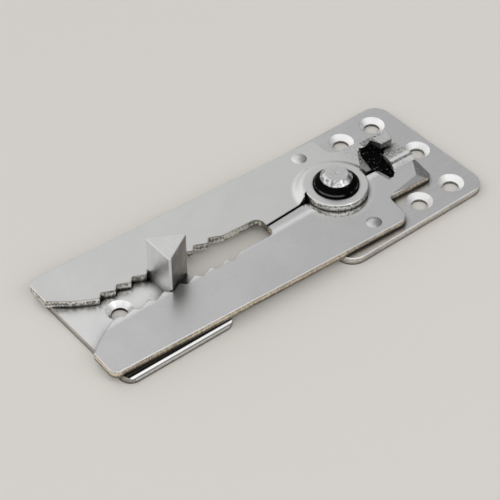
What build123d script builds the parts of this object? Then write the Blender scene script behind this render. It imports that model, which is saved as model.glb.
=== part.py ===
from build123d import *
import os
from math import cos, radians, sin

# Sizes are in millimetres and angles in degrees. The rivet's axis is the Z axis, and the underside of
# the base plate lies at Z 0. X runs along the base plate, towards its screw holes.

# Sheet and levels
sheet = 3.0
jaw_level = sheet
ear_level = 2 * sheet
ring_level = 3 * sheet

# Base plate
plate_length = 67.0
plate_width = 60.0
plate_corner = 6.5
plate_right = 47.5
screw_hole = 6.0
screw_head = 9.8
screw_columns = (21.6, 37.2)
screw_row = 21.5
end_screw_x = 40.4

# Rivet and rubber ring
shank_radius = 4.0
running_gap = 0.05
head_radius = 5.9
head_top_radius = 4.2
head_rim = 0.4
head_height = 2.1
centre_mark = 0.5
foot_radius = 6.0
ring_radius = 8.4
ring_shoulder_radius = 8.0
ring_top_radius = 6.1
ring_height = 3.0
ring_rim = 0.7

# Jaws, in their own frame, which is turned about the rivet from the base plate's
jaw_turn = -2.7
jaw_end = -114.6
jaw_half_width = 27.2
ear_radius = 11.8
lower_ear_radius = 10.6
joggle_top_radius = 12.6
joggle_foot_radius = 15.4
joggle_wall_shift = 1.24
joggle_round = 2.2
joggle_skirt = 1.0
joggle_arc = 169.0
rim_bevel = 0.3
slit_start = (-31.4, -0.3)
slit_relief = (-11.4, 1.5)
slit_width = 1.0
relief_radius = 1.5

# Toothed slot between the jaws, with its flared mouth
slot_half_width = 5.0
slot_end_round = 3.0
first_tooth = -47.0
tooth_pitch = 6.5
tooth_count = 8
tooth_step = 1.9
peak_half_width = 5.2
valley_half_width = 7.3
tooth_round = 0.45
mouth_bend = (-107.2, 9.5)
mouth_bend_round = 22.0
mouth_half_width = 15.9

# Tails of the jaws, round the window that holds the rubber spring
far_gap_angle = 6.0
near_gap_angle = -1.5
flap_start = 23.2
flap_slope_end = 27.2
flap_end = 35.1
flap_root = 15.4
flap_edge = 7.6
flap_wall = 12.2
flap_rise = 2.7
flap_gap = 0.1
flap_round = 3.5
rib_start = -4.1
rib_peak = (-1.75, 1.82)
rib_end = 5.0
rib_round = 2.6
bar_dip = 1.0
rubber_height = 2.3

# Locating dimples, pressed up out of both jaws
dimple_y = 21.7
dimple_radius = 2.9
dimple_height = 0.9
dimple_skirt = 0.5

# Post and its plate, in a frame of their own, turned a little from the base plate's
post_turn = -0.7
post_centre = (-73.9, 3.2)
post_spot = (0.2, 0.4)
post_side = 14.6
post_bevel = 0.9
post_edge = 0.2
post_top = 21.0
stake_radius = 3.4
post_plate_length = 46.2
post_plate_width = 57.0
post_plate_corner = 4.5
post_plate_lip = 2.4
post_plate_right = 7.7
post_screws = [(-21.2, 0), (-12.0, 18.5), (-12.0, -18.5)]


def turned(height, turn=jaw_turn, centre=(0, 0)):
    """Level plane whose X axis is turned from the base plate's. The jaws' frame is the usual one."""
    across = (cos(radians(turn)), sin(radians(turn)), 0)
    return Plane(origin=(centre[0], centre[1], height), x_dir=across, z_dir=(0, 0, 1))


def section(level, x):
    """Plane across a level plane at a place along it, with its own X axis across and its Y axis up."""
    return Plane(origin=level.from_local_coords((x, 0, 0)), x_dir=level.y_dir, z_dir=level.x_dir)


def upright(angle):
    """Plane that stands on the rivet's axis, with its X axis outwards at an angle in the jaws' frame."""
    out = radians(jaw_turn + angle)
    return Plane(origin=(0, 0, 0), x_dir=(cos(out), sin(out), 0), z_dir=(sin(out), -cos(out), 0))


def ray(angle, distance):
    """Point at an angle and a distance from the rivet, in the jaws' frame."""
    return (distance * cos(radians(angle)), distance * sin(radians(angle)))


def outline(corners):
    """Closed sketch through corners given as x, y and the radius that rounds each one."""
    with BuildSketch() as shape:
        with BuildLine():
            FilletPolyline(*[(x, y) for x, y, r in corners], radius=[r for x, y, r in corners], close=True)
        make_face()
    return shape.sketch


def opening():
    """Gap between the closed jaws: flared mouth, toothed slot, slit, and the round relief by the ear."""
    slot_end = slit_start[0]
    mouth_x = jaw_end - 1
    points = [(slot_end, 0), (slot_end, slot_half_width), (first_tooth, peak_half_width)]
    for tooth in range(1, tooth_count + 1):
        peak = first_tooth - tooth * tooth_pitch
        points += [(peak + tooth_step, valley_half_width), (peak, peak_half_width)]
    points += [mouth_bend, (mouth_x, mouth_half_width)]
    rounds = [slot_end_round] + [tooth_round] * (2 * tooth_count + 1) + [mouth_bend_round]
    with BuildSketch() as gap:
        with BuildLine():
            FilletPolyline(*points, radius=rounds)
            Line((mouth_x, mouth_half_width), (mouth_x, 0))
            mirror(about=Plane.XZ)
        make_face()
        with BuildLine():
            Line(slit_start, slit_relief)
        trace(line_width=slit_width)
        with Locations(slit_relief):
            Circle(relief_radius)
    return gap.sketch


def dome():
    """Round dimple pressed out of a sheet, with a short skirt that buries it in the sheet."""
    sphere_radius = (dimple_radius**2 + dimple_height**2) / (2 * dimple_height)
    with BuildPart() as cap:
        with BuildSketch(Plane.XZ):
            with BuildLine():
                RadiusArc((0, dimple_height), (dimple_radius, 0), sphere_radius)
                Polyline(
                    (dimple_radius, 0), (dimple_radius, -dimple_skirt), (0, -dimple_skirt), (0, dimple_height)
                )
            make_face()
        revolve(axis=Axis.Z)
    return cap.part


def rib():
    """Rounded rib along the near tail's cross bar, standing on the sheet's top face."""
    with BuildPart() as ridge:
        with BuildSketch(Plane.XY.offset(-dimple_skirt)):
            Polygon(*rib_plan, align=None)
        extrude(amount=rib_peak[1] + dimple_skirt)
        with BuildSketch(section(Plane.XY, 0)):
            add(outline(rib_profile))
        extrude(amount=2 * flap_end, mode=Mode.INTERSECT)
    return ridge.part


def rim(edges):
    """Top edges along a jaw's outer side and its free end."""
    level = turned(ear_level)
    centres = [(edge, level.to_local_coords(edge.center())) for edge in edges]
    top = [(edge, spot) for edge, spot in centres if abs(spot.Z) < 0.01]
    return [edge for edge, spot in top if abs(spot.Y) > jaw_half_width - 1 or spot.X < jaw_end + 0.1]


def press(start, end, angle, reach):
    """Wedge over a plane that slopes down, to the left of a bend line on the jaws' top face."""
    level = turned(ear_level)
    corner = level.from_local_coords((*start, 0))
    run = level.from_local_coords((*end, 0)) - corner
    downhill = Vector(0, 0, 1).cross(run.normalized())
    slope = Vector(0, 0, cos(radians(angle))) + downhill * sin(radians(angle))
    with BuildPart(Plane(origin=corner, x_dir=run, z_dir=slope)) as wedge:
        Box(run.length, reach, sheet, align=(Align.MIN, Align.MIN, Align.MIN))
    return wedge.part


# Corners of the flat outlines, each with the radius that rounds it
far_corners = [
    (jaw_end, jaw_half_width, 3.0),
    (jaw_end, 0, 0),
    (*slit_start, 0),
    (*slit_relief, 0),
    (0, 0, 0),
    (*ray(far_gap_angle, 18.7), 0.6),
    (19.3, 9.0, 3.0),
    (21.6, 13.2, 1.0),
    (24.6, flap_wall, 0.8),
    (34.9, flap_wall, 0.3),
    (flap_end, 16.4, 1.0),
    (10.9, 16.4, 4.0),
    (10.9, jaw_half_width, 2.0),
]
near_corners = [
    (jaw_end, -jaw_half_width, 3.0),
    (jaw_end, 0, 0),
    (*slit_start, 0),
    (*slit_relief, 0),
    (0, 0, 0),
    (*ray(near_gap_angle, 19.6), 0.6),
    (20.8, -7.2, 0.5),
    (23.6, -5.0, 1.0),
    (25.6, 3.7, 0.6),
    (29.6, 8.4, 0.5),
    (34.7, 8.4, 0.8),
    (33.4, -14.4, 2.0),
    (13.0, -14.4, 2.5),
    (12.0, -jaw_half_width, 4.0),
]
rubber_corners = [
    (16.4, 0.65, 0),
    (18.95, 1.6, 0.3),
    (19.65, 8.9, 3.0),
    (21.7, 12.8, 0.8),
    (24.4, 11.9, 0.8),
    (30.6, 11.9, 0.8),
    (30.6, 8.8, 0.4),
    (29.4, 8.8, 0.5),
    (25.25, 3.9, 0.6),
    (23.4, -4.7, 0.8),
    (20.95, -6.7, 0.4),
    (19.85, -0.2, 0.4),
]
rib_plan = [(23.7, -5.0), (24.5, -1.0), (26.1, 5.2), (34.4, 5.2), (33.9, -5.0)]
rib_profile = [
    (rib_end, 0, 0),
    (*rib_peak, rib_round),
    (rib_start, 0, 0),
    (rib_start, -dimple_skirt, 0),
    (rib_end, -dimple_skirt, 0),
]
far_presses = [((19.85, 12.2), (13.7, 2.5), 19.0, 5.5)]
near_presses = [
    ((17.5, -0.3), (18.9, -7.3), 22.0, 3.0),
    ((30.5, -10.9), (15.5, -13.9), 9.0, 5.0),
    ((32.8, -4.2), (26.3, -15.2), 9.0, 7.0),
]
joggle_profile = [
    (0, ear_level, 0),
    (joggle_top_radius - joggle_wall_shift, ear_level, 0),
    (joggle_foot_radius - joggle_wall_shift, jaw_level, 0),
    (joggle_foot_radius + joggle_skirt, jaw_level, 0),
    (joggle_foot_radius + joggle_skirt, ear_level, 0),
    (joggle_foot_radius, ear_level, joggle_round),
    (joggle_top_radius, ring_level, joggle_round),
    (0, ring_level, 0),
]
flap_profile = [
    (flap_root, ear_level - dimple_skirt, 0),
    (flap_root, ear_level, 0),
    (flap_wall + 0.6, ear_level + flap_rise, flap_round),
    (flap_edge, ear_level + flap_rise, 0.3),
    (flap_edge, ear_level + flap_gap, 0.2),
    (flap_wall, ear_level + flap_gap, 0),
    (flap_wall, ear_level - dimple_skirt, 0),
]
flap_trims = [
    [(flap_end, flap_root), (32.2, flap_edge - 1), (37.0, flap_edge - 1), (37.0, flap_root)],
    [(22.0, flap_wall), (26.2, flap_wall), (27.6, flap_edge - 1), (22.0, flap_edge - 1)],
]
flap_slope = [
    (flap_start - 1, ear_level),
    (flap_start, ear_level),
    (flap_slope_end, ear_level + flap_rise),
    (flap_slope_end, ring_level),
    (flap_start - 1, ring_level),
]
bar_slope = [(rib_end, ear_level), (8.8, ear_level - bar_dip), (8.8, ear_level + 1)]

# Base plate, with its screw holes and a seat underneath for the rivet's foot
with BuildPart() as base_plate:
    with BuildSketch():
        with Locations((plate_right - plate_length / 2, 0)):
            RectangleRounded(plate_length, plate_width, plate_corner)
    extrude(amount=sheet)
    chamfer(base_plate.faces().sort_by(Axis.Z)[-1].edges(), rim_bevel)
    with Locations(*[(x, y, sheet) for x in screw_columns for y in (screw_row, -screw_row)]):
        CounterSinkHole(screw_hole / 2, screw_head / 2, counter_sink_angle=90)
    with Locations((end_screw_x, 0, sheet)):
        CounterSinkHole(screw_hole / 2, screw_head / 2, counter_sink_angle=90)
    with Locations(Location((0, 0, 0), (180, 0, 0))):
        CounterSinkHole(shank_radius + running_gap, foot_radius + running_gap, counter_sink_angle=90)
base_plate.part.label = "base_plate"

# Far jaw: flat sheet, the joggle that lifts its ear one thickness, the ear, and the raised flap on its tail
with BuildPart() as far_jaw:
    with BuildSketch(turned(jaw_level)):
        add(outline(far_corners))
        Circle(joggle_foot_radius, mode=Mode.SUBTRACT)
    extrude(amount=sheet)
    with BuildSketch(upright(far_gap_angle)):
        add(outline(joggle_profile))
    revolve(axis=Axis.Z, revolution_arc=joggle_arc)
    with BuildSketch(turned(jaw_level)):
        add(opening())
    extrude(amount=2 * sheet, mode=Mode.SUBTRACT)
    chamfer(rim(far_jaw.edges()), rim_bevel)
    with BuildSketch(Plane.XZ):
        Polygon(
            (0, ear_level),
            (ear_radius, ear_level),
            (ear_radius, ring_level - rim_bevel),
            (ear_radius - rim_bevel, ring_level),
            (0, ring_level),
            align=None,
        )
    revolve(axis=Axis.Z)
    with BuildSketch(section(turned(0), flap_start)):
        add(outline(flap_profile))
    extrude(amount=flap_end - flap_start)
    with BuildSketch(turned(ear_level)):
        for corners in flap_trims:
            Polygon(*corners, align=None)
    extrude(amount=sheet, mode=Mode.SUBTRACT)
    with BuildSketch(upright(0)):
        Polygon(*flap_slope, align=None)
    extrude(amount=-jaw_half_width, mode=Mode.SUBTRACT)
    for spot in far_presses:
        add(press(*spot), mode=Mode.SUBTRACT)
    with Locations(turned(ear_level) * Location((0, dimple_y, 0))):
        add(dome())
    with Locations(turned(jaw_level) * Location((0, dimple_y, 0))):
        add(dome(), mode=Mode.SUBTRACT)
    with BuildSketch():
        Circle(shank_radius + running_gap)
    extrude(amount=ring_level, mode=Mode.SUBTRACT)
far_jaw.part.label = "far_jaw"

# Near jaw: flat sheet with its lower ear, and a ribbed cross bar behind the window
with BuildPart() as near_jaw:
    with BuildSketch(turned(jaw_level)):
        add(outline(near_corners))
        add(opening(), mode=Mode.SUBTRACT)
        Circle(lower_ear_radius)
    extrude(amount=sheet)
    chamfer(rim(near_jaw.edges()), rim_bevel)
    with BuildSketch(section(turned(0), flap_start)):
        Polygon(*bar_slope, align=None)
    extrude(amount=flap_end - flap_start, mode=Mode.SUBTRACT)
    with Locations(turned(ear_level)):
        add(rib())
    with Locations(turned(jaw_level)):
        add(rib(), mode=Mode.SUBTRACT)
    for spot in near_presses:
        add(press(*spot), mode=Mode.SUBTRACT)
    with Locations(turned(ear_level) * Location((0, -dimple_y, 0))):
        add(dome())
    with Locations(turned(jaw_level) * Location((0, -dimple_y, 0))):
        add(dome(), mode=Mode.SUBTRACT)
    with BuildSketch():
        Circle(shank_radius + running_gap)
    extrude(amount=ring_level, mode=Mode.SUBTRACT)
near_jaw.part.label = "near_jaw"

# Rivet: foot flush with the base plate's underside, shank, and a bevelled head with a centre mark
head_level = ring_level + ring_height
rivet_top = head_level + head_height
with BuildPart() as rivet:
    with BuildSketch(Plane.XZ):
        Polygon(
            (0, 0),
            (foot_radius, 0),
            (shank_radius, foot_radius - shank_radius),
            (shank_radius, head_level),
            (head_radius, head_level),
            (head_radius, head_level + head_rim),
            (head_top_radius, rivet_top),
            (centre_mark, rivet_top),
            (0, rivet_top - centre_mark),
            align=None,
        )
    revolve(axis=Axis.Z)
rivet.part.label = "rivet"

# Rubber ring between the upper ear and the rivet's head, with a stepped rim
with BuildPart() as rubber_ring:
    with BuildSketch(Plane.XZ):
        with BuildLine():
            Polyline(
                (shank_radius, head_level),
                (shank_radius, ring_level),
                (ring_radius, ring_level),
                (ring_radius, ring_level + ring_rim),
                (ring_shoulder_radius, ring_level + ring_rim),
                (ring_top_radius, head_level),
                close=True,
            )
        make_face()
    revolve(axis=Axis.Z)
rubber_ring.part.label = "rubber_ring"

# Rubber spring in the window between the tails
with BuildPart() as rubber_spring:
    with BuildSketch(turned(jaw_level)):
        add(outline(rubber_corners))
    extrude(amount=rubber_height)
rubber_spring.part.label = "rubber_spring"

# Post plate: a strip with rounded long edges and rounded corners
post_level = turned(0, post_turn, post_centre)
with BuildPart() as post_plate:
    with BuildSketch(post_level):
        with Locations((post_plate_right - post_plate_length / 2, 0)):
            RectangleRounded(post_plate_length, post_plate_width, post_plate_corner)
    extrude(amount=sheet)
    with BuildSketch(section(post_level, post_plate_right)) as strip:
        Rectangle(post_plate_width, sheet, align=(Align.CENTER, Align.MIN))
        fillet(strip.vertices().group_by(Axis.Y)[-1], post_plate_lip)
    extrude(amount=-post_plate_length, mode=Mode.INTERSECT)
    with Locations(*[post_level.offset(sheet) * Location((x, y, 0)) for x, y in post_screws]):
        CounterSinkHole(screw_hole / 2, screw_head / 2, counter_sink_angle=90)
    with BuildSketch(post_level):
        with Locations(post_spot):
            Circle(stake_radius)
    extrude(amount=sheet, mode=Mode.SUBTRACT)
post_plate.part.label = "post_plate"

# Post: three-sided bar with eased corners, and a round stake that fills its hole in the plate
with BuildPart() as post:
    with BuildSketch(post_level.offset(sheet)) as triangle:
        with Locations(post_spot):
            RegularPolygon(post_side / 3**0.5, 3)
        chamfer(triangle.vertices(), post_bevel)
    extrude(amount=post_top - sheet)
    chamfer(post.faces().sort_by(Axis.Z)[-1].edges(), post_edge)
    with BuildSketch(post_level):
        with Locations(post_spot):
            Circle(stake_radius)
    extrude(amount=sheet)
post.part.label = "post"

os.makedirs("parts", exist_ok=True)
for piece in (base_plate, far_jaw, near_jaw, rivet, rubber_ring, rubber_spring, post_plate, post):
    export_step(piece.part, f"parts/{piece.part.label}.step")
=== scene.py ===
from math import cos, radians, sin
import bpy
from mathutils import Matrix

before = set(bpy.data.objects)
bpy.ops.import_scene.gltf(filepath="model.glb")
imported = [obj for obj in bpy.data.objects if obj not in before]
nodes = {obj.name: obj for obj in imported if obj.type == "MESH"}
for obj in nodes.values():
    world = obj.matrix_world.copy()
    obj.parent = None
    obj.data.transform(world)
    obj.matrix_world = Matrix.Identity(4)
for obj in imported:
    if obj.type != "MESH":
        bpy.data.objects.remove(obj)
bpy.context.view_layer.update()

from types import SimpleNamespace

import bpy
from mathutils import Matrix, Vector

scene = bpy.context.scene


# Small helpers for node trees

def node(tree, kind, **settings):
    """Adds a node and sets properties of it."""
    made = tree.nodes.new(kind)
    for name, value in settings.items():
        setattr(made, name, value)
    return made


def put(made, **values):
    """Sets input sockets by name, with spaces written as underscores."""
    for name, value in values.items():
        made.inputs[name.replace("_", " ")].default_value = value


def wire(tree, *pairs):
    """Links sockets, given as source and target pairs."""
    for source, target in pairs:
        tree.links.new(source, target)


def feed(tree, value, target):
    """Links a socket to an input, or writes a plain value on the input."""
    if isinstance(value, bpy.types.NodeSocket):
        tree.links.new(value, target)
    else:
        target.default_value = value


def maths(tree, operation, *values, clamp=False):
    """A Math node on values that are sockets or numbers. Returns its output."""
    made = node(tree, "ShaderNodeMath", operation=operation, use_clamp=clamp)
    for slot, value in enumerate(values):
        feed(tree, value, made.inputs[slot])
    return made.outputs[0]


def plus(tree, a, b, clamp=False):
    """The sum of two values."""
    return maths(tree, "ADD", a, b, clamp=clamp)


def times(tree, first, *others):
    """The product of several values."""
    product = first
    for other in others:
        product = maths(tree, "MULTIPLY", product, other)
    return product


def spread(tree, value, low, high, to_low=0.0, to_high=1.0):
    """A Map Range node, smooth at both ends. Returns its output."""
    made = node(tree, "ShaderNodeMapRange", interpolation_type="SMOOTHSTEP")
    wire(tree, (value, made.inputs["Value"]))
    put(made, From_Min=low, From_Max=high, To_Min=to_low, To_Max=to_high)
    return made.outputs["Result"]


# A Mix node's sockets for each kind of data: the factor, the two values and the result
MIX_SOCKETS = {"FLOAT": (0, 2, 3, 0), "RGBA": (0, 6, 7, 2)}


def blend(tree, factor, a, b, kind="RGBA"):
    """A mix of two colours, or of two numbers where the kind is FLOAT. Returns its output."""
    made = node(tree, "ShaderNodeMix", data_type=kind)
    *slots, result = MIX_SOCKETS[kind]
    for slot, value in zip(slots, (factor, a, b)):
        feed(tree, value, made.inputs[slot])
    return made.outputs[result]


def noise(tree, vector, scale, detail, roughness):
    """A noise texture, whose scale is a number or a socket. Returns its value output."""
    made = node(tree, "ShaderNodeTexNoise")
    put(made, Detail=detail, Roughness=roughness)
    feed(tree, scale, made.inputs["Scale"])
    wire(tree, (vector, made.inputs["Vector"]))
    return made.outputs["Fac"]


def vector_maths(tree, operation, *values):
    """A Vector Math node on vectors that are sockets or plain values."""
    made = node(tree, "ShaderNodeVectorMath", operation=operation)
    for slot, value in enumerate(values):
        feed(tree, value, made.inputs[slot])
    return made


def stretched(tree, vector, factors):
    """A vector multiplied by three factors."""
    return vector_maths(tree, "MULTIPLY", vector, factors).outputs["Vector"]


def length(tree, vector):
    """The length of a vector."""
    return vector_maths(tree, "LENGTH", vector).outputs["Value"]


def from_z_axis(tree, place):
    """The distance of a place from the Z axis."""
    return length(tree, stretched(tree, place, (1.0, 1.0, 0.0)))


def split(tree, vector):
    """The X, Y and Z of a vector."""
    made = node(tree, "ShaderNodeSeparateXYZ")
    wire(tree, (vector, made.inputs[0]))
    return made.outputs["X"], made.outputs["Y"], made.outputs["Z"]


def own_place(tree):
    """The place on the piece, in its own frame."""
    return node(tree, "ShaderNodeTexCoord").outputs["Object"]


def face_normal(tree):
    """The X, Y and Z of the normal of the face."""
    return split(tree, node(tree, "ShaderNodeNewGeometry").outputs["True Normal"])


def bumped(tree, height, distance, strength):
    """The normal over a height, whose strength is a number or a socket."""
    bump = node(tree, "ShaderNodeBump")
    put(bump, Distance=distance)
    feed(tree, strength, bump.inputs["Strength"])
    wire(tree, (height, bump.inputs["Height"]))
    return bump.outputs["Normal"]


def new_group(name, inputs, outputs):
    """A shader node group with named sockets. Returns its tree, what it is given and what it puts out."""
    tree = bpy.data.node_groups.new(name, "ShaderNodeTree")
    for label, kind, value in inputs:
        socket = tree.interface.new_socket(label, in_out="INPUT", socket_type=kind)
        socket.default_value = value
    for label, kind in outputs:
        tree.interface.new_socket(label, in_out="OUTPUT", socket_type=kind)
    return tree, tree.nodes.new("NodeGroupInput").outputs, tree.nodes.new("NodeGroupOutput").inputs


# Plated sheet: the group that the jaws and both plates share

FLOAT, COLOUR, VECTOR = "NodeSocketFloat", "NodeSocketColor", "NodeSocketVector"

SHEET_INPUTS = [
    ("Light", COLOUR, (0.7, 0.7, 0.7, 1)),
    ("Dark", COLOUR, (0.5, 0.5, 0.5, 1)),
    ("Edge", COLOUR, (0.8, 0.8, 0.8, 1)),
    ("Torn", COLOUR, (0.2, 0.2, 0.2, 1)),
    ("Rim", COLOUR, (0.3, 0.3, 0.3, 1)),
    ("Rim Amount", FLOAT, 0.5),
    ("Cone Amount", FLOAT, 0.0),
    ("Flat Rough", FLOAT, 0.0),
    ("Blotch Scale", FLOAT, 90.0),
    ("Grain Scale", FLOAT, 900.0),
    ("Smooth", FLOAT, 0.25),
    ("Rough", FLOAT, 0.45),
    ("Bump", FLOAT, 0.1),
    ("Crevice", FLOAT, 0.5),
    ("Reach", FLOAT, 0.0025),
    ("Streaks", FLOAT, 0.0),
    ("Worn Amount", FLOAT, 0.0),
    ("Worn Centre", VECTOR, (0.0, 0.0, 0.0)),
    ("Worn Radius", FLOAT, 0.01),
    ("Break Height", FLOAT, 0.001),
    ("Break Amount", FLOAT, 0.0),
    ("Ridge Centre", VECTOR, (0.0, 0.0, 0.0)),
    ("Ridge Amount", FLOAT, 0.0),
    ("Burnish Radius", FLOAT, 0.001),
    ("Lee Start", FLOAT, 0.02),
    ("Lee Amount", FLOAT, 0.0),
    ("Lip Start", FLOAT, -1.0),
]
SHEET_OUTPUTS = [("Colour", COLOUR), ("Roughness", FLOAT), ("Normal", VECTOR)]

# Colours of the effects. All but the countersinks' stand in for light or shade at least in part: a painted
# highlight on glint specks and ridges, painted shade over the lower band of sheared sides, on dark
# pitting, on faces leaning towards -X, on lee sides and on rolled lips, and a near black painted contact
# shade in crevices
PAINTED_HIGHLIGHT = (0.97, 0.97, 0.96, 1)
CONE_BRIGHT = (0.97, 0.97, 0.965, 1)
FRACTURE_PAINTED_SHADE = (0.03, 0.027, 0.024, 1)
PIT_AND_PAINTED_SHADE = (0.14, 0.135, 0.13, 1)
LEANING_PAINTED_SHADE = (0.16, 0.155, 0.15, 1)
LEE_PAINTED_SHADE = (0.13, 0.128, 0.12, 1)
LIP_PAINTED_SHADE = (0.13, 0.128, 0.125, 1)
PAINTED_CONTACT_SHADE = (0.02, 0.018, 0.015, 1)

# Noise: scale, detail and roughness, or the last two where the piece gives its own scale
TEARS = (1300.0, 2.0, 0.6)
LAYERS = (900.0, 2.0, 0.5)
STREAKS = (420.0, 3.0, 0.6)
PITS = (1300.0, 2.0, 0.6)
GLINTS = (1700.0, 2.0, 0.5)
BLOTCH_DETAIL = (4.0, 0.5)
GRAIN_DETAIL = (2.0, 0.5)

# Noise that is drawn out along some axes: what each axis is multiplied by
TEARS_STRETCH = (1.0, 1.0, 0.7)
LAYERS_STRETCH = (0.08, 0.08, 1.0)
STREAKS_STRETCH = (0.15, 1.6, 1.0)

# Ranges of noise: the low and the high end, then the mask's level at each where these aren't 0 and 1
BLOTCH_RANGE = (0.32, 0.68)
SPECKLE_RANGE = (0.3, 0.7)
TORN_RANGE = (0.41, 0.59)
STREAKS_RANGE = (0.45, 0.65)
PITS_RANGE = (0.42, 0.57)
GLINTS_RANGE = (0.54, 0.66)
LEE_GRAIN = (0.35, 0.6, 0.65, 1.0)
RIM_GAPS = (0.35, 0.6, 0.4, 1.0)

# Ranges of the normal's Z, with the same four places
UPRIGHT_FACE = (0.05, 0.5, 1.0, 0.0)
LEVEL_FACE = (0.98, 0.998)
SHALLOW_FACE = (0.88, 0.93)
LIP_FACE = (0.82, 0.90)

# Ranges of the normal's X
LEANING_FACE = (-0.55, -0.2, 0.75, 0.0)
LEE_FACE = (0.06, 0.12)

# The normal's Z on the wall of a countersink, and how far it may differ
CONE_TILT = (0.7, 0.06)

# Ranges of how open a place is, where 1 has nothing near it
RIM_OPENNESS = (0.55, 0.9, 1.0, 0.0)
CONTACT_SHADE_OPENNESS = (0.42, 0.88, 1.0, 0.0)

# Ranges of lengths in metres
RIDGE_WIDTH = (0.0010, 0.0026, 1.0, 0.0)
LEE_FADE = (0.0, 0.002)
LIP_FADE = (-0.0008, 0.0, 1.0, 0.0)

# Ranges of a share of the piece's own height or radius
FRACTURE_SHADE_SHARE = (0.96, 1.10, 1.0, 0.0)
PATCH_SHARE = (0.5, 1.0, 1.0, 0.0)
BURNISH_SHARE = (0.84, 1.05, 0.28, 1.0)

# Range of the slope, from level to sloping, and how much of the patch's wear, painted highlight and
# painted shade shows on each
PATCH_BY_SLOPE = (0.0, 1.0, 0.2, 1.0)

# Shares of two noises in a mix
BLOTCH_SHARE, SPECKLE_SHARE = 0.8, 0.2
TEARS_SHARE, LAYERS_SHARE = 0.55, 0.45

# How far the tears and the blotches push the borders of the other masks
FRACTURE_SHADE_WAVER = 0.0008
RIDGE_WAVER = 0.0006
BURNISH_WAVER = 0.12

# What is added to the roughness
SIDE_ROUGH = 0.1
CONE_ROUGH = 0.20
SHALLOW_ROUGH = 0.14
RIDGE_ROUGH = -0.14

# Bump: heights of the textures, and the distance in metres that a height of 1 stands for
GRAIN_HEIGHT, BLOTCH_HEIGHT, TORN_HEIGHT, GLINT_HEIGHT = 0.12, 0.5, 2.5, 4.0
SHEET_BUMP = 0.00012

# How far from a corner its dark line reaches, in metres
CORNER_WIDTH = 0.0007

# Rays that feel how open a place is
OPENNESS_RAYS = 6


def sheet_values(tree, given):
    """What the effects share: the place, the normal, the textures, and masks of how a face lies."""
    place = own_place(tree)
    x, y, z = split(tree, place)
    normal_x, _, normal_z = face_normal(tree)
    level = spread(tree, normal_z, *LEVEL_FACE)
    soft = spread(tree, noise(tree, place, given["Blotch Scale"], *BLOTCH_DETAIL), *BLOTCH_RANGE)
    grain = noise(tree, place, given["Grain Scale"], *GRAIN_DETAIL)
    speckle = spread(tree, grain, *SPECKLE_RANGE)
    tears = noise(tree, stretched(tree, place, TEARS_STRETCH), *TEARS)
    layers = noise(tree, stretched(tree, place, LAYERS_STRETCH), *LAYERS)
    torn = plus(tree, times(tree, tears, TEARS_SHARE), times(tree, layers, LAYERS_SHARE))
    return SimpleNamespace(
        place=place, x=x, y=y, z=z, normal_x=normal_x, normal_z=normal_z,
        soft=soft, grain=grain, tears=tears, level=level,
        upright=spread(tree, maths(tree, "ABSOLUTE", normal_z), *UPRIGHT_FACE),
        slope=maths(tree, "SUBTRACT", 1.0, level),
        mottle=plus(tree, times(tree, soft, BLOTCH_SHARE), times(tree, speckle, SPECKLE_SHARE)),
        torn=spread(tree, torn, *TORN_RANGE),
    )


def sheared_side(tree, given, at):
    """Colour of the sheared sides: torn layers, and below a ragged height a fracture band darkened to near
    black as painted shade.
    """
    ragged = plus(tree, at.z, times(tree, at.tears, FRACTURE_SHADE_WAVER))
    share = maths(tree, "DIVIDE", ragged, given["Break Height"])
    # The lower band of the wall is darkened to near black: painted shade
    fracture_shade = times(tree, spread(tree, share, *FRACTURE_SHADE_SHARE), given["Break Amount"])
    side = blend(tree, at.torn, given["Torn"], given["Edge"])
    return blend(tree, fracture_shade, side, FRACTURE_PAINTED_SHADE)


def plain_colour(tree, given, at):
    """Colour before any wear: mottled faces and sheared sides, with faint streaks along X."""
    face = blend(tree, at.mottle, given["Dark"], given["Light"])
    colour = blend(tree, at.upright, face, sheared_side(tree, given, at))
    lines = noise(tree, stretched(tree, at.place, STREAKS_STRETCH), *STREAKS)
    streaks = times(tree, spread(tree, lines, *STREAKS_RANGE), given["Streaks"])
    return blend(tree, streaks, colour, given["Dark"])


def wear_and_painted_light_mask(tree, given, at):
    """A round patch of wear that also carries painted highlight and painted shade, weaker on level faces.
    """
    away = vector_maths(tree, "DISTANCE", at.place, given["Worn Centre"]).outputs["Value"]
    share = maths(tree, "DIVIDE", away, given["Worn Radius"])
    sloping = spread(tree, at.slope, *PATCH_BY_SLOPE)
    return times(tree, spread(tree, share, *PATCH_SHARE), given["Worn Amount"], sloping)


def ridge_highlight_mask(tree, given, at):
    """A line along X that takes a painted highlight."""
    off = vector_maths(tree, "SUBTRACT", at.place, given["Ridge Centre"]).outputs["Vector"]
    across = length(tree, stretched(tree, off, (0.0, 1.0, 1.0)))
    uneven = plus(tree, across, times(tree, at.tears, RIDGE_WAVER))
    return times(tree, spread(tree, uneven, *RIDGE_WIDTH), given["Ridge Amount"])


def cone_mask(tree, given, at):
    """The walls of the countersinks, found by their tilt."""
    return times(tree, maths(tree, "COMPARE", at.normal_z, *CONE_TILT), given["Cone Amount"])


def painted_lee_shade_mask(tree, given, at):
    """Painted shade on faces that lean towards +X, past a place along X."""
    leaning = times(tree, spread(tree, at.normal_x, *LEE_FACE), given["Lee Amount"])
    past = maths(tree, "SUBTRACT", at.x, given["Lee Start"])
    return times(tree, leaning, spread(tree, past, *LEE_FADE), spread(tree, at.grain, *LEE_GRAIN))


def painted_lip_shade_mask(tree, given, at):
    """Painted shade on the upper part of a rolled lip, on the -Y side of a place along Y."""
    past = maths(tree, "SUBTRACT", at.y, given["Lip Start"])
    return times(tree, spread(tree, past, *LIP_FADE), spread(tree, at.normal_z, *LIP_FACE))


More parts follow.
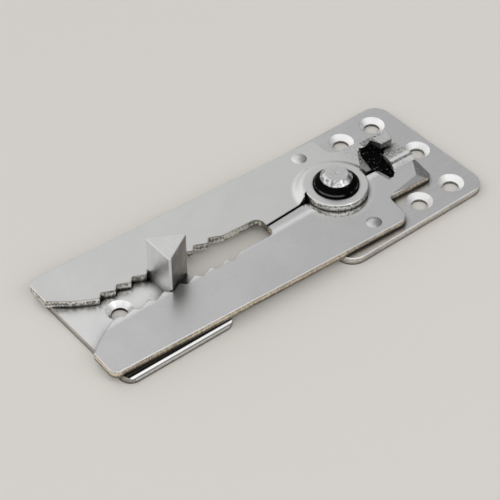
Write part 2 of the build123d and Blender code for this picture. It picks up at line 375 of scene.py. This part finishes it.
def rim_mask(tree, given, at):
    """The corners of the piece, with gaps."""
    corner = node(tree, "ShaderNodeAmbientOcclusion", samples=OPENNESS_RAYS, inside=True, only_local=True)
    put(corner, Distance=CORNER_WIDTH)
    edge = spread(tree, corner.outputs["AO"], *RIM_OPENNESS)
    return times(tree, edge, given["Rim Amount"], spread(tree, at.tears, *RIM_GAPS))


def painted_contact_shade_mask(tree, given):
    """Painted shade in crevices and at places close to another piece."""
    hollow = node(tree, "ShaderNodeAmbientOcclusion", samples=OPENNESS_RAYS)
    wire(tree, (given["Reach"], hollow.inputs["Distance"]))
    return times(tree, spread(tree, hollow.outputs["AO"], *CONTACT_SHADE_OPENNESS), given["Crevice"])


def plated_sheet():
    """The group's tree.

    Faces carry soft blotches, fine grain and faint streaks, and sheared sides are torn in layers. A piece
    can also have painted shade over the lower band of its sheared sides, a round patch of wear with
    painted highlight specks, dark pitting that doubles as painted shade and painted shade on faces leaning
    towards
    -X, a painted highlight along a ridge, bright countersinks, painted shade on a lee side and on the
    upper part of a rolled lip, and a burnished disc round the Z axis. Corners take the rim's colour, and
    crevices and places close to another piece a painted contact shade.
    """
    tree, given, made = new_group("plated sheet", SHEET_INPUTS, SHEET_OUTPUTS)
    at = sheet_values(tree, given)
    wear_and_painted_light = wear_and_painted_light_mask(tree, given, at)
    # Dark pitting in the patch, which also serves as painted shade on its sloping faces
    pitting_and_shade = spread(tree, noise(tree, at.place, *PITS), *PITS_RANGE)
    glints = spread(tree, noise(tree, at.place, *GLINTS), *GLINTS_RANGE)
    # Faces leaning towards -X in the patch take a painted shade
    leaning = spread(tree, at.normal_x, *LEANING_FACE)
    ridge = ridge_highlight_mask(tree, given, at)
    cone = cone_mask(tree, given, at)

    # Colour: each mask lays its own colour over what is there
    colour = plain_colour(tree, given, at)
    for mask, over in (
        # Glint specks in the patch: a painted highlight
        (times(tree, wear_and_painted_light, glints), PAINTED_HIGHLIGHT),
        # Dark pitting, which also serves as painted shade
        (times(tree, wear_and_painted_light, pitting_and_shade), PIT_AND_PAINTED_SHADE),
        # Painted shade on faces leaning towards -X
        (times(tree, wear_and_painted_light, leaning), LEANING_PAINTED_SHADE),
        # Painted highlight along the ridge
        (ridge, PAINTED_HIGHLIGHT),
        (cone, CONE_BRIGHT),
        # Painted shade on the lee side
        (painted_lee_shade_mask(tree, given, at), LEE_PAINTED_SHADE),
        # Painted shade on the rolled lip
        (painted_lip_shade_mask(tree, given, at), LIP_PAINTED_SHADE),
        (rim_mask(tree, given, at), given["Rim"]),
        # Painted contact shade in crevices and next to other pieces
        (painted_contact_shade_mask(tree, given), PAINTED_CONTACT_SHADE),
    ):
        colour = blend(tree, mask, colour, over)
    wire(tree, (colour, made["Colour"]))

    # Roughness: from smooth to rough with the mottle, then each mask adds its own
    span = maths(tree, "SUBTRACT", given["Rough"], given["Smooth"])
    rough = plus(tree, times(tree, at.mottle, span), given["Smooth"])
    shallow = times(tree, spread(tree, at.normal_z, *SHALLOW_FACE), at.slope)
    for mask, added in (
        (at.upright, SIDE_ROUGH),
        (cone, CONE_ROUGH),
        (at.level, given["Flat Rough"]),
        (shallow, SHALLOW_ROUGH),
        (ridge, RIDGE_ROUGH),
    ):
        rough = plus(tree, rough, times(tree, mask, added))
    share = maths(tree, "DIVIDE", from_z_axis(tree, at.place), given["Burnish Radius"])
    share = plus(tree, share, times(tree, at.soft, BURNISH_WAVER))
    burnish = spread(tree, share, *BURNISH_SHARE)
    wire(tree, (times(tree, rough, burnish), made["Roughness"]))

    height = plus(tree, times(tree, at.grain, GRAIN_HEIGHT), times(tree, at.soft, BLOTCH_HEIGHT))
    height = plus(tree, height, times(tree, at.torn, at.upright, TORN_HEIGHT))
    height = plus(tree, height, times(tree, glints, wear_and_painted_light, GLINT_HEIGHT))
    wire(tree, (bumped(tree, height, SHEET_BUMP, given["Bump"]), made["Normal"]))
    return tree


# Materials of the plated pieces

def new_material(name, metallic):
    """A node material with a Principled shader. Returns the material, its tree and the shader."""
    material = bpy.data.materials.new(name)
    material.use_nodes = True
    tree = material.node_tree
    shader = tree.nodes["Principled BSDF"]
    put(shader, Metallic=metallic)
    return material, tree, shader


PLATED_SHEET = plated_sheet()


def plated(name, **values):
    """A plated steel material made with the plated sheet group."""
    material, tree, shader = new_material(name, 1.0)
    group = node(tree, "ShaderNodeGroup", node_tree=PLATED_SHEET)
    put(group, **values)
    wire(
        tree,
        (group.outputs["Colour"], shader.inputs["Base Color"]),
        (group.outputs["Roughness"], shader.inputs["Roughness"]),
        (group.outputs["Normal"], shader.inputs["Normal"]),
    )
    return material


far_metal = plated(
    "jaw_nickel",
    Light=(0.82, 0.82, 0.805, 1), Dark=(0.74, 0.745, 0.73, 1), Edge=(0.95, 0.93, 0.89, 1),
    Torn=(0.20, 0.19, 0.17, 1), Rim=(0.28, 0.27, 0.25, 1), Rim_Amount=0.7,
    Blotch_Scale=70.0, Grain_Scale=1100.0, Smooth=0.27, Rough=0.36, Bump=0.2,
    Crevice=1.0, Reach=0.0018,
    Worn_Amount=0.9, Worn_Centre=(0.0235, 0.0110, 0.0075), Worn_Radius=0.0125,
)
# The golden Edge and Torn colours of its sheared sides are a painted reflection of a warm wooden table
near_metal = plated(
    "near_jaw_nickel",
    Light=(0.75, 0.75, 0.745, 1), Dark=(0.64, 0.64, 0.64, 1), Edge=(0.90, 0.81, 0.66, 1),
    Torn=(0.50, 0.44, 0.34, 1), Rim=(0.30, 0.29, 0.27, 1), Rim_Amount=0.7,
    Blotch_Scale=60.0, Grain_Scale=1100.0, Smooth=0.28, Rough=0.38, Bump=0.22,
    Crevice=1.0, Reach=0.003,
    Worn_Amount=0.6, Worn_Centre=(0.0275, 0.0040, 0.006), Worn_Radius=0.0115,
    Break_Height=0.0043, Break_Amount=0.65,
    Ridge_Centre=(0.0, -0.0026, 0.0073), Ridge_Amount=1.0,
    Lee_Start=0.0195, Lee_Amount=0.6, Burnish_Radius=0.0162,
)
base_metal = plated(
    "plate_zinc",
    Light=(0.76, 0.76, 0.755, 1), Dark=(0.63, 0.63, 0.63, 1), Edge=(0.86, 0.82, 0.75, 1),
    Torn=(0.56, 0.53, 0.48, 1), Rim=(0.25, 0.25, 0.25, 1), Rim_Amount=0.8,
    Blotch_Scale=110.0, Grain_Scale=900.0, Smooth=0.26, Rough=0.40, Bump=0.18,
    Crevice=0.95, Reach=0.0031,
    Cone_Amount=1.0, Streaks=0.35,
)
bright_metal = plated(
    "bright_nickel",
    Light=(0.92, 0.92, 0.91, 1), Dark=(0.84, 0.84, 0.835, 1), Edge=(0.92, 0.88, 0.82, 1),
    Torn=(0.70, 0.68, 0.64, 1), Rim=(0.9, 0.9, 0.9, 1), Rim_Amount=0.0,
    Blotch_Scale=100.0, Grain_Scale=700.0, Smooth=0.06, Rough=0.12, Bump=0.08,
    Crevice=1.0, Reach=0.006,
    Cone_Amount=1.0, Flat_Rough=0.2, Lip_Start=-0.0208,
)


# Materials of the rivet, the rubber and the post

def rivet_material():
    """Turned nickel: fine rings round the axis, a little wear, and a scuffed bevel."""
    ring_waves = 7000.0
    patch_share, ring_share = 0.55, 0.18
    patch_rough, least_rough = 0.12, 0.2
    ring_height, wear_height = 0.2, 0.5
    bevel_face = (0.92, 0.99, 1.0, 0.0)

    material, tree, shader = new_material("rivet_nickel", 1.0)
    place = own_place(tree)
    _, _, normal_z = face_normal(tree)
    rings = maths(tree, "SINE", times(tree, from_z_axis(tree, place), ring_waves))
    wear = noise(tree, place, scale=600.0, detail=4.0, roughness=0.6)
    patch = spread(tree, wear, low=0.38, high=0.62)
    marks = plus(tree, times(tree, patch, patch_share), times(tree, rings, ring_share), clamp=True)
    turned = blend(tree, marks, (0.62, 0.62, 0.62, 1), (0.86, 0.86, 0.85, 1))
    scuffs = noise(tree, place, scale=650.0, detail=2.0, roughness=0.5)
    scuffs = spread(tree, scuffs, low=0.36, high=0.62)
    scuffed = blend(tree, scuffs, (0.26, 0.26, 0.26, 1), (0.74, 0.74, 0.735, 1))
    colour = blend(tree, spread(tree, normal_z, *bevel_face), turned, scuffed)
    rough = plus(tree, times(tree, patch, patch_rough), least_rough)
    height = plus(tree, times(tree, rings, ring_height), times(tree, wear, wear_height))
    wire(
        tree,
        (colour, shader.inputs["Base Color"]),
        (rough, shader.inputs["Roughness"]),
        (bumped(tree, height, distance=0.00005, strength=0.5), shader.inputs["Normal"]),
    )
    return material


def rubber_material(name, dust, highlight_radius):
    """Black rubber with a faint grain, specks of dust, and a pale painted highlight line at a radius round
    the Z axis.
    """
    line_width = (0.00005, 0.0003, 1.0, 0.0)
    line_gaps = (0.40, 0.60, 0.0, 0.5)
    least_rough, most_rough = 0.55, 0.75
    speck_range = (0.80 - dust, 0.83 - dust)

    material, tree, shader = new_material(name, 0.0)
    put(shader, IOR=1.12, Specular_IOR_Level=0.2)
    place = own_place(tree)
    grain = noise(tree, place, scale=1500.0, detail=3.0, roughness=0.6)
    shade = noise(tree, place, scale=260.0, detail=3.0, roughness=0.6)
    specks = spread(tree, noise(tree, place, scale=1900.0, detail=1.0, roughness=0.4), *speck_range)
    black = blend(tree, shade, (0.001, 0.001, 0.001, 1), (0.004, 0.004, 0.004, 1))
    dusty = blend(tree, specks, black, (0.42, 0.42, 0.41, 1))
    # A pale painted highlight along the ring's shoulder
    away = maths(tree, "ABSOLUTE", maths(tree, "SUBTRACT", from_z_axis(tree, place), highlight_radius))
    line = times(tree, spread(tree, away, *line_width), spread(tree, shade, *line_gaps))
    wire(
        tree,
        (blend(tree, line, dusty, (0.22, 0.22, 0.22, 1)), shader.inputs["Base Color"]),
        (spread(tree, grain, 0.3, 0.7, least_rough, most_rough), shader.inputs["Roughness"]),
        (bumped(tree, grain, distance=0.00006, strength=0.5), shader.inputs["Normal"]),
    )
    return material


def post_material():
    """Bright drawn bar: lines down its sides, a painted shade with a brown painted reflection on the sides
    towards +X, and a ground top.
    """
    drawn_stretch, ground_stretch = (1.0, 1.0, 0.05), (1.0, 0.12, 1.0)
    top_face = (0.6, 0.9)
    plus_x_shade_face = (0.2, 0.5, 0.0, 0.8)
    side_rough, top_rough = 0.33, 0.36
    blotch_rough = 0.08

    material, tree, shader = new_material("post_steel", 1.0)
    place = own_place(tree)
    normal_x, _, normal_z = face_normal(tree)
    top = spread(tree, normal_z, *top_face)
    drawn = noise(tree, stretched(tree, place, drawn_stretch), scale=1800.0, detail=3.0, roughness=0.6)
    ground = noise(tree, stretched(tree, place, ground_stretch), scale=1500.0, detail=3.0, roughness=0.6)
    soft = noise(tree, place, scale=190.0, detail=3.0, roughness=0.55)
    soft = spread(tree, soft, low=0.35, high=0.65)
    sides = blend(tree, drawn, (0.60, 0.60, 0.60, 1), (0.78, 0.78, 0.78, 1))
    # Sides towards +X take a painted shade with a brown painted reflection
    plus_x_shade = blend(tree, soft, (0.16, 0.15, 0.13, 1), (0.36, 0.34, 0.31, 1))
    sides = blend(tree, spread(tree, normal_x, *plus_x_shade_face), sides, plus_x_shade)
    end = blend(tree, ground, (0.80, 0.80, 0.79, 1), (0.96, 0.96, 0.95, 1))
    least_rough = spread(tree, top, 0.0, 1.0, side_rough, top_rough)
    lines = blend(tree, top, drawn, ground, kind="FLOAT")
    wire(
        tree,
        (blend(tree, top, sides, end), shader.inputs["Base Color"]),
        (plus(tree, times(tree, soft, blotch_rough), least_rough), shader.inputs["Roughness"]),
        (bumped(tree, lines, distance=0.00005, strength=0.4), shader.inputs["Normal"]),
    )
    return material


# A radius past the piece's reach, so that it has no painted highlight line
NO_HIGHLIGHT_LINE = 1.0

looks = {
    "base_plate": base_metal,
    "far_jaw": far_metal,
    "near_jaw": near_metal,
    "rivet": rivet_material(),
    "rubber_ring": rubber_material("black_rubber", dust=0.0, highlight_radius=0.0079),
    "rubber_spring": rubber_material("dusty_rubber", dust=0.1, highlight_radius=NO_HIGHLIGHT_LINE),
    "post_plate": bright_metal,
    "post": post_material(),
}
for name, material in looks.items():
    nodes[name].data.materials.clear()
    nodes[name].data.materials.append(material)


# Floor

floor_reach = 3
floor_drop = 0.00005
floor_corners = [
    (-floor_reach, -floor_reach, 0),
    (floor_reach, -floor_reach, 0),
    (floor_reach, floor_reach, 0),
    (-floor_reach, floor_reach, 0),
]
floor_mesh = bpy.data.meshes.new("floor")
floor_mesh.from_pydata(floor_corners, [], [(0, 1, 2, 3)])
floor = bpy.data.objects.new("floor", floor_mesh)
floor.location.z = -floor_drop
scene.collection.objects.link(floor)
paper, _, paper_shader = new_material("pale_floor", 0.0)
put(paper_shader, Roughness=0.9, Base_Color=(0.88, 0.85, 0.80, 1))
floor_mesh.materials.append(paper)


# Sky: a pale grey with patches that the metal reflects

SKY_GREY = (0.78, 0.78, 0.785, 1)
SKY_STRENGTH = 0.9

# Each patch: the way to its middle, the cosines at which it starts and is full, and its level
SKY_PATCHES = [
    ((-0.60, 0.60, 0.25), 0.20, 0.95, 1.10),
    ((0.46, -0.05, 0.88), 0.90, 0.94, 0.03),
    ((0.46, -0.62, 0.63), 0.93, 0.975, 1.02),
    ((0.93, 0.15, 0.05), 0.62, 0.90, 0.16),
    ((0.35, -0.93, 0.05), 0.90, 0.98, 0.25),
]

world = bpy.data.worlds.new("studio")
scene.world = world
world.use_nodes = True
sky = world.node_tree
direction = node(sky, "ShaderNodeTexCoord").outputs["Generated"]
shade = SKY_GREY
for middle_way, start, full, grey in SKY_PATCHES:
    towards = Vector(middle_way).normalized()
    cosine = vector_maths(sky, "DOT_PRODUCT", direction, towards).outputs["Value"]
    shade = blend(sky, spread(sky, cosine, start, full), shade, (grey, grey, grey, 1))
backdrop = sky.nodes["Background"]
wire(sky, (shade, backdrop.inputs["Color"]))
put(backdrop, Strength=SKY_STRENGTH)


# Lamps

def softbox(name, place, aim, size, power, colour):
    """A square area light that faces a point."""
    lamp = bpy.data.lights.new(name, "AREA")
    lamp.shape = "SQUARE"
    lamp.size = size
    lamp.energy = power
    lamp.color = colour
    holder = bpy.data.objects.new(name, lamp)
    holder.location = place
    holder.rotation_euler = (Vector(aim) - Vector(place)).to_track_quat("-Z", "Y").to_euler()
    scene.collection.objects.link(holder)


middle = (-0.03, 0.0, 0.0)
softbox("key_light", (-0.38, -0.84, 0.86), middle, size=1.6, power=2.4, colour=(1.0, 0.99, 0.97))
softbox("glint_light", (0.18, -0.85, 0.81), middle, size=0.16, power=0.2, colour=(1.0, 1.0, 1.0))


# Camera at the photograph's viewing angle

azimuth, elevation, roll = radians(-39.109), radians(43.47), radians(-0.512)
target = Vector((-0.04002, 0.000413, 0.0))
camera_distance = 0.6517
sensor_width = 36.0
focal_length = 132.26
nearest_seen = 0.01

back = Vector((sin(azimuth) * cos(elevation), -cos(azimuth) * cos(elevation), sin(elevation)))
level_right = Vector((0, 0, 1)).cross(back).normalized()
level_up = back.cross(level_right)
right = cos(roll) * level_right + sin(roll) * level_up
up = -sin(roll) * level_right + cos(roll) * level_up
turn = Matrix((right, up, back)).transposed().to_4x4()
lens = bpy.data.cameras.new("camera")
lens.sensor_width = sensor_width
lens.lens = focal_length
lens.clip_start = nearest_seen
camera = bpy.data.objects.new("camera", lens)
camera.matrix_world = Matrix.Translation(target + camera_distance * back) @ turn
scene.collection.objects.link(camera)
scene.camera = camera
scene.view_settings.view_transform = "Standard"
